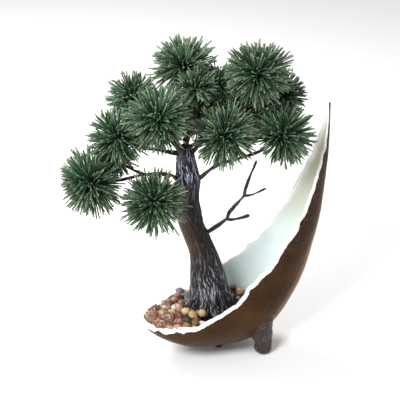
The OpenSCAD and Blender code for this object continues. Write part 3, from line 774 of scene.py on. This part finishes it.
def wire_grid(name, path, seed):
    """One twisted pair of wires along a path, closed at both ends."""
    length = sum((path[i + 1].xyz - path[i].xyz).length for i in range(len(path) - 1))
    rows = max(12, round(length / (1.6 * mm)))
    helper = Vector((0.31, 0.87, -0.38))

    def wire_point(u, v):
        s = min(1.0, max(0.0, u))
        c = curve(path, s)
        step = 0.5 / rows
        along = (curve(path, min(1, s + step)).xyz - curve(path, max(0, s - step)).xyz).normalized()
        a = helper.cross(along).normalized()
        b = along.cross(a)
        angle = 2 * math.pi * v
        turn = angle - 2 * math.pi * s * length / twist_pitch
        strand, apart = 0.68, 0.38
        r = apart * abs(math.cos(turn)) + math.sqrt(strand ** 2 - (apart * math.sin(turn)) ** 2)
        out = a * math.cos(angle) + b * math.sin(angle)
        p = c.xyz + out * c.w * r
        knob = rough(p + Vector((seed, 0, 0)), 7 * mm, 3) * 0.35 + rough(p, 2.2 * mm, 2) * 0.12
        p = p + out * knob * mm
        closing = min(s, 1 - s) * length / c.w
        if closing < 1:
            share = math.sqrt(max(0.0, 1 - (1 - closing) ** 2))
            p = c.xyz.lerp(p, share)
        return p, r

    return bent_grid(name, rows, 20, wire_point, ("strand",), merge=2e-6)


def joined(name, meshes):
    """Several meshes as one."""
    bm = bmesh.new()
    for mesh in meshes:
        bm.from_mesh(mesh)
    return as_mesh(bm, name)


dip = Finish("coated_wire", 0.38, Specular_IOR_Level=0.25)
dip_tone = dip.ramp(dip.noise(0.010, 4), (0.35, (0.010, 0.006, 0.005)), (0.55, (0.024, 0.013, 0.010)),
                    (0.72, (0.055, 0.032, 0.024)))
# Painted highlight: a lighter brown along the outer crowns of the two strands, broken up by noise.
crown_highlight = dip.ramp(dip.note("strand"), (0.80, 0.0), (1.0, 0.5))
crown_highlight_share = dip.sum("MULTIPLY", crown_highlight, dip.noise(0.004, 3))
dip.colour(dip.mix(crown_highlight_share, dip_tone, (0.10, 0.066, 0.052)))
dip.bump(dip.noise(0.0018, 3), 0.0005, 0.6)
for number, (name, paths) in enumerate(branches.items()):
    meshes = [wire_grid(f"{name}_{k}", path, number + 3 * k) for k, path in enumerate(paths)]
    finish_piece(name + "_wires", joined(name, meshes), dip.material, "coated_wire", name)

# %% [markdown]
# ## The needle tufts
# Each tuft is a burst of some hundreds of stiff plastic needles, bound to the end of a wire. One
# needle is modelled once, as a thin rod that is cut into short lengths so that it can bend, and then
# set into every direction with its own length, bend and shade. Needles lean into small bundles, which
# leaves gaps in the outline, and they are sparser underneath and round the wire. Two notes are kept
# for the colour: how far along its needle a point is, and the needle's own shade.

# %% One needle
def make_needle():
    """A needle of length 1 along Z, with the note along from 0 at its root to 1 at its tip."""
    bm = bmesh.new()
    along = bm.verts.layers.float.new("along")
    bm.verts.layers.float.new("shade")
    bmesh.ops.create_cone(bm, segments=5, radius1=0.8, radius2=0.8, depth=1.0, cap_ends=True)
    for edge_height in (-0.25, 0.0, 0.25, 0.44):
        bmesh.ops.bisect_plane(bm, geom=list(bm.verts) + list(bm.edges) + list(bm.faces),
                               plane_co=(0, 0, edge_height), plane_no=(0, 0, 1))
    for v in bm.verts:
        z = v.co.z + 0.5
        taper = 0.8 + 0.3 * smooth_step(0.0, 0.5, z) - 0.3 * smooth_step(0.93, 1.0, z)
        v.co = Vector((v.co.x * taper, v.co.y * taper, z))
        v[along] = z
    return as_mesh(bm, "needle")


needle = make_needle()
needle_points = [v.co.copy() for v in needle.vertices]
print("needle", len(needle_points), "points", len(needle.polygons), "faces")

# %% A tuft of needles
heart_r, socket_len, tuft_r = 9 * mm, 6 * mm, 42 * mm
needle_r = 1.12 * mm
golden_turn = math.pi * (3 - math.sqrt(5))


def directions(count):
    """Directions spread evenly over a ball."""
    for i in range(count):
        z = 1 - (2 * i + 1) / count
        r = math.sqrt(1 - z * z)
        yield Vector((r * math.cos(golden_turn * i), r * math.sin(golden_turn * i), z))


def keep_inside(start, end):
    """The share of a needle that stays in the ornament's own box."""
    share = 1.0
    for k in range(3):
        if end[k] > cad_high[k] - 0.4 * mm:
            share = min(share, (cad_high[k] - 0.4 * mm - start[k]) / (end[k] - start[k]))
        if end[k] < cad_low[k] + 0.4 * mm:
            share = min(share, (cad_low[k] + 0.4 * mm - start[k]) / (end[k] - start[k]))
    return share


def tuft_mesh(name, path, radius, seed):
    chance = random.Random(seed)
    tip = path[-1].xyz
    wire_dir = (curve(path, 1).xyz - curve(path, 0.97).xyz).normalized()
    centre = tip + wire_dir * (heart_r - socket_len)
    count = round(620 * (radius / tuft_r) ** 1.4)
    bundles = [d + Vector([chance.uniform(-0.1, 0.1) for _ in range(3)]) for d in directions(count // 7)]
    bm = bmesh.new()
    bmesh.ops.create_icosphere(bm, subdivisions=3, radius=heart_r * 0.62,
                               matrix=Matrix.Translation(centre))
    along = bm.verts.layers.float.new("along")
    shade = bm.verts.layers.float.new("shade")
    for d in directions(count):
        d = (d + Vector([chance.gauss(0, 0.09) for _ in range(3)])).normalized()
        bundle = max(bundles, key=lambda b: b.dot(d) / b.length)
        under = smooth_step(0.1, -0.7, d.z)
        d = d.lerp(bundle.normalized(), chance.uniform(0.05, 0.4) + 0.35 * under).normalized()
        if d.dot(wire_dir) < -0.82 or chance.random() < 0.35 * smooth_step(-0.2, -0.9, d.z):
            continue
        length = radius * chance.uniform(0.90, 1.10) * (1 + 0.08 * d.z)
        start = centre + d * heart_r * 0.3 + Vector([chance.gauss(0, 1) for _ in range(3)]) * 2.6 * mm
        side = d.orthogonal().normalized()
        cross = d.cross(side)
        bend = Vector([chance.gauss(0, 1) for _ in range(3)]) * 0.05 + Vector((0, 0, -0.05))
        thick = needle_r * chance.uniform(0.85, 1.12)
        tone = chance.random()
        run = length - heart_r * 0.3
        inside = keep_inside(start, start + (d + bend) * run)
        run *= inside * chance.uniform(0.86, 1) if inside < 1 else 1
        first = len(bm.verts)
        bm.from_mesh(needle)
        bm.verts.ensure_lookup_table()
        for i, q in enumerate(needle_points):
            v = bm.verts[first + i]
            v.co = (start + d * run * q.z + bend * run * q.z * q.z
                    + (side * q.x + cross * q.y) * thick)
            v[shade] = tone
    return as_mesh(bm, name, smooth=True)


# %% Needle colour
green = Finish("needles", 0.42, Specular_IOR_Level=0.5)
shade_of = green.note("shade")
along_of = green.note("along")
body = green.ramp(shade_of, (0.0, (0.014, 0.038, 0.021)), (0.4, (0.036, 0.094, 0.050)),
                  (0.8, (0.085, 0.180, 0.100)), (1.0, (0.20, 0.31, 0.19)))
tips = green.ramp(shade_of, (0.0, (0.075, 0.052, 0.030)), (0.3, (0.075, 0.11, 0.045)),
                  (0.7, (0.12, 0.18, 0.085)), (1.0, (0.26, 0.26, 0.15)))
body = green.mix(green.ramp(along_of, (0.78, 0.0), (1.0, 0.85)), body, tips)
# Painted shade: each needle turns near black towards its root, deep in the tuft, and so does the ball at
# the tuft's heart.
body = green.mix(green.ramp(along_of, (0.05, 1.0), (0.42, 0.0)), body, (0.003, 0.009, 0.005))
green.colour(body)
green.bump(green.noise(0.0012, 2), 0.0002, 0.4)

# %% All the tufts
small, medium, full = 0.62, 0.8, 0.95
tufts = {
    "tuft_top": (leader_top, full), "tuft_top_right": (top_right, 1), "tuft_top_mid": (leader, small),
    "tuft_crown_back": (leader_back, small), "tuft_top_left": (top_left, full),
    "tuft_left_back": (top_left_back, 0.74), "tuft_left_high": (left_high, 0.86),
    "tuft_left_under": (left_low_high, small), "tuft_far_left": (left_low, 1),
    "tuft_front_left": (left_low_front, full), "tuft_centre": (right_front, full),
    "tuft_right": (right, full), "tuft_right_back": (top_right_back, medium),
    "tuft_back_mid": (back, full), "tuft_back_right": (back_right, full),
    "tuft_back_left": (left_high_back, full),
}
for number, (name, (path, share)) in enumerate(tufts.items()):
    mesh = tuft_mesh(name, path, tuft_r * share, 11 + number)
    finish_piece(name + "_needles", mesh, green.material, "needles", name)

# %% [markdown]
# ## The pebbles
# The bed is river gravel in a few colours. Every pebble sits where the CAD has one: its islands give
# the places and the sizes. Each is a small icosphere that is stretched, turned and knocked out of
# round, and the russet stones are crinkled. Fine grit fills the gaps between them.

# %% Pebbles from the CAD's places
def islands(node):
    """The middle and the half sizes of each loose stone of a CAD node."""
    bm = bmesh.new()
    bm.from_mesh(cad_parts[node].data)
    bmesh.ops.remove_doubles(bm, verts=bm.verts, dist=1e-6)
    left, found = set(bm.verts), []
    while left:
        todo, part = [left.pop()], []
        while todo:
            v = todo.pop()
            part.append(v.co.copy())
            for e in v.link_edges:
                w = e.other_vert(v)
                if w in left:
                    left.remove(w)
                    todo.append(w)
        low = Vector([min(p[k] for p in part) for k in range(3)])
        high = Vector([max(p[k] for p in part) for k in range(3)])
        found.append(((low + high) / 2, (high - low) / 2))
    bm.free()
    return sorted(found, key=lambda s: (round(s[0].z, 4), round(s[0].x, 4), round(s[0].y, 4)))


def add_stone(bm, centre, half, chance, crinkle, fineness=3):
    """One stone, knocked out of round; crinkle is the depth of its creases."""
    grown = bmesh.ops.create_icosphere(bm, subdivisions=fineness, radius=1.0)["verts"]
    turn = Matrix.Rotation(chance.uniform(0, 2 * math.pi), 3, "Z") @ Matrix.Rotation(
        chance.gauss(0, 0.35), 3, "X")
    seed = Vector([chance.uniform(0, 50) for _ in range(3)])
    stretch = Vector((half.x * chance.uniform(1.0, 1.35), half.y * chance.uniform(0.9, 1.1),
                      half.z * chance.uniform(0.95, 1.15)))
    tone = chance.random()
    layer = bm.verts.layers.float["shade"]
    for v in grown:
        d = v.co.normalized()
        bulge = 1 + 0.16 * noise.noise(d * 1.1 + seed) + 0.07 * noise.noise(d * 2.4 + seed)
        crease = abs(noise.noise(d * 2.6 + seed * 2)) + 0.5 * abs(noise.noise(d * 5.2 + seed))
        bulge *= 1 + 1.5 * crinkle * (crease - 0.33)
        v.co = centre + turn @ Vector((d.x * stretch.x, d.y * stretch.y, d.z * stretch.z)) * bulge
        v[layer] = tone


# Bigger stones laid on top of the bed: x, y, z and half the length, in millimetres
top_stones = {
    "russet": [(-94, -9, 61, 10), (-89, -23, 61, 9.5), (-82, 4, 63, 9), (-76, -17, 63, 11),
               (-88, 16, 62, 8), (-66, -3, 63, 9), (-63, -25, 62, 8), (-80, -29, 59, 7.5),
               (-69, 24, 62, 7.5), (-67, -34, 59, 7), (4, -42, 63, 8), (22, 40, 68, 7)],
    "tan": [(-45, -12, 63, 7.5), (-51, -24, 62, 8), (-41, -29, 61, 7), (-55, -36, 60, 6.5),
            (-97, 6, 60, 7)],
    "slate": [(-52, 8, 64, 7), (34, 12, 66, 7)],
    "olive": [(-59, 31, 64, 10.5), (-10, -43, 62, 8.5), (30, 32, 68, 9), (35, 21, 67, 8.5),
              (14, -41, 63, 7.5)],
    "white": [(-44, 18, 63, 5), (-33, -36, 61, 5), (-24, -41, 61, 4.5), (20, -38, 65, 4.5)],
}


def stone_mesh(name, node, crinkle, seed):
    chance = random.Random(seed)
    bm = bmesh.new()
    bm.verts.layers.float.new("shade")
    for centre, half in islands(node):
        add_stone(bm, centre, half, chance, crinkle)
    for x, y, z, size in top_stones[name]:
        half = Vector((size, size * 0.75, size * 0.6)) * mm
        add_stone(bm, Vector((x, y, z)) * mm, half, chance, crinkle, fineness=4)
    return as_mesh(bm, name, smooth=True)


def stone_finish(name, dark, middle, light, gloss, veins):
    """Polished stone: a shade for each pebble, clouds of colour and thin veins."""
    stone = Finish(name, gloss, Specular_IOR_Level=0.5)
    tone = stone.ramp(stone.sum("ADD", stone.sum("MULTIPLY", stone.note("shade"), 0.55),
                                stone.sum("MULTIPLY", stone.noise(0.006, 4), 0.5)),
                      (0.15, dark), (0.5, middle), (0.85, light))
    lines = stone.ramp(stone.noise(0.004, 5, rough_share=0.7), (0.47, 0.0), (0.5, veins), (0.53, 0.0))
    stone.colour(stone.mix(lines, tone, light))
    stone.bump(stone.noise(0.0022, 4), 0.0008, 0.5)
    return stone.material


stones = {
    "russet": ((0.030, 0.009, 0.005), (0.145, 0.052, 0.026), (0.50, 0.31, 0.22), 0.2, 0.8, 0.5),
    "tan": ((0.11, 0.055, 0.020), (0.27, 0.15, 0.058), (0.56, 0.41, 0.23), 0.34, 0.6, 0.5),
    "slate": ((0.018, 0.018, 0.020), (0.045, 0.045, 0.048), (0.15, 0.15, 0.16), 0.34, 0.5, 0.15),
    "olive": ((0.030, 0.022, 0.010), (0.085, 0.065, 0.032), (0.24, 0.20, 0.12), 0.28, 0.5, 0.15),
    "white": ((0.52, 0.46, 0.36), (0.70, 0.66, 0.56), (0.86, 0.83, 0.76), 0.35, 0.3, 0.2),
}
for number, (kind, (dark, middle, light, gloss, veins, crinkle)) in enumerate(stones.items()):
    slot, node = "stone_" + kind, "pebbles_" + kind
    material = stone_finish(slot, dark, middle, light, gloss, veins)
    finish_piece(node + "_stones", stone_mesh(kind, node, crinkle, 40 + number), material, slot, node)

# %% [markdown]
# Under the pebbles lies the plaster, which is the CAD's own piece and only needs its finish. So does
# the steel rod that ties the trunk to it. A layer of fine grit hides the plaster where the pebbles
# leave gaps.

# %% Plaster, rod and grit
plaster = Finish("plaster", 0.85)
plaster.colour(plaster.ramp(plaster.noise(0.004, 5), (0.3, (0.30, 0.26, 0.19)),
                            (0.7, (0.52, 0.47, 0.37))))
plaster.bump(plaster.noise(0.002, 4), 0.0008, 0.7)
steel = Finish("rod_steel", 0.35, Metallic=1.0)
steel.colour(steel.ramp(steel.noise(0.004, 4, (6, 6, 0.4)), (0.3, (0.42, 0.42, 0.43)),
                        (0.7, (0.58, 0.58, 0.60))))
for node, finish in (("plaster_plug", plaster), ("trunk_rod", steel)):
    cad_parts[node].data.materials.clear()
    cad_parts[node].data.materials.append(finish.material)

coat_tree = bvhtree.BVHTree.FromPolygons([v.co for v in coat_mesh.vertices],
                                         [p.vertices for p in coat_mesh.polygons])
grit_stone = Finish("grit", 0.5)
grit_stone.colour(grit_stone.ramp(grit_stone.note("shade"), (0.0, (0.10, 0.085, 0.05)),
                                  (0.3, (0.26, 0.25, 0.19)), (0.6, (0.36, 0.33, 0.22)),
                                  (0.8, (0.55, 0.44, 0.24)), (1.0, (0.80, 0.77, 0.68))))
grit_stone.bump(grit_stone.noise(0.0012, 3), 0.0004, 0.5)


def grit_mesh(count):
    chance = random.Random(77)
    bm = bmesh.new()
    bm.verts.layers.float.new("shade")
    c = trunk_at(0.04)
    made = 0
    while made < count:
        x, y = chance.uniform(-0.105, 0.09), chance.uniform(-0.06, 0.06)
        size = chance.uniform(1.1, 2.4) * mm
        hit = coat_tree.ray_cast(Vector((x, y, 0.062)), Vector((0, 0, -1)))[0]
        clear = coat_tree.find_nearest(Vector((x, y, 0.058)))[3]
        if hit is None or clear < 3 * mm or math.hypot(x - c.x, y) < c.w - 2 * mm:
            continue
        z = plaster_top + size * 0.6 + chance.uniform(0, 8.5) * mm * smooth_step(3 * mm, 12 * mm, clear)
        add_stone(bm, Vector((x, y, z)), Vector((size, size * 0.85, size * 0.7)), chance, 0.3, 2)
        made += 1
    return as_mesh(bm, "grit")


finish_piece("bed_grit", grit_mesh(900), grit_stone.material, "stone_tan")

# %% [markdown]
# ## Floor, light and camera
# The ornament stands on a plain pale floor under soft studio light: a large soft box from the upper
# left, one from behind, a weak one from the right and an even white surround.

# %% Floor and lights
floor_half = 8.0
bm = bmesh.new()
bmesh.ops.create_grid(bm, x_segments=1, y_segments=1, size=floor_half)
floor_mesh = as_mesh(bm, "floor")
floor = bpy.data.objects.new("floor", floor_mesh)
scene.collection.objects.link(floor)
floor_finish = Finish("floor", 0.9)
floor_finish.colour((0.90, 0.90, 0.90))
floor_mesh.materials.append(floor_finish.material)

world = bpy.data.worlds.new("surround")
scene.world = world
world.use_nodes = True
world.node_tree.nodes["Background"].inputs["Color"].default_value = (1, 1, 1, 1)
world.node_tree.nodes["Background"].inputs["Strength"].default_value = 0.53

lit_point = Vector((0, 0, 0.2))


def soft_box(name, place, size, power):
    light = bpy.data.lights.new(name, "AREA")
    light.shape, light.size, light.energy = "DISK", size, power
    box = bpy.data.objects.new(name, light)
    scene.collection.objects.link(box)
    box.location = place
    box.rotation_euler = (lit_point - Vector(place)).to_track_quat("-Z", "Y").to_euler()


soft_box("key", (-1.2, -1.1, 1.5), 0.8, 46)
soft_box("fill", (1.6, -0.9, 0.9), 1.2, 6)
soft_box("back", (-0.7, 1.1, 1.6), 1.0, 30)

# %% [markdown]
# The camera stands 15 degrees to the left of the front and looks 24 degrees down. Its long lens keeps
# the tall tip and the crown in their true proportion.

# %% The camera
look_at = Vector((-3.85, 87.05, 186.62)) * mm
azimuth, elevation, distance = math.radians(-15), math.radians(24), 1.7
camera_data = bpy.data.cameras.new("camera")
camera_data.lens, camera_data.sensor_width = 109.3, 36
camera_data.clip_start, camera_data.clip_end = 0.05, 60
camera = bpy.data.objects.new("camera", camera_data)
scene.collection.objects.link(camera)
away = Vector((math.sin(azimuth) * math.cos(elevation), -math.cos(azimuth) * math.cos(elevation),
               math.sin(elevation)))
camera.location = look_at + away * distance
camera.rotation_euler = (-away).to_track_quat("-Z", "Y").to_euler()
scene.camera = camera
scene.view_settings.view_transform = "Standard"
print("camera at", camera.location)
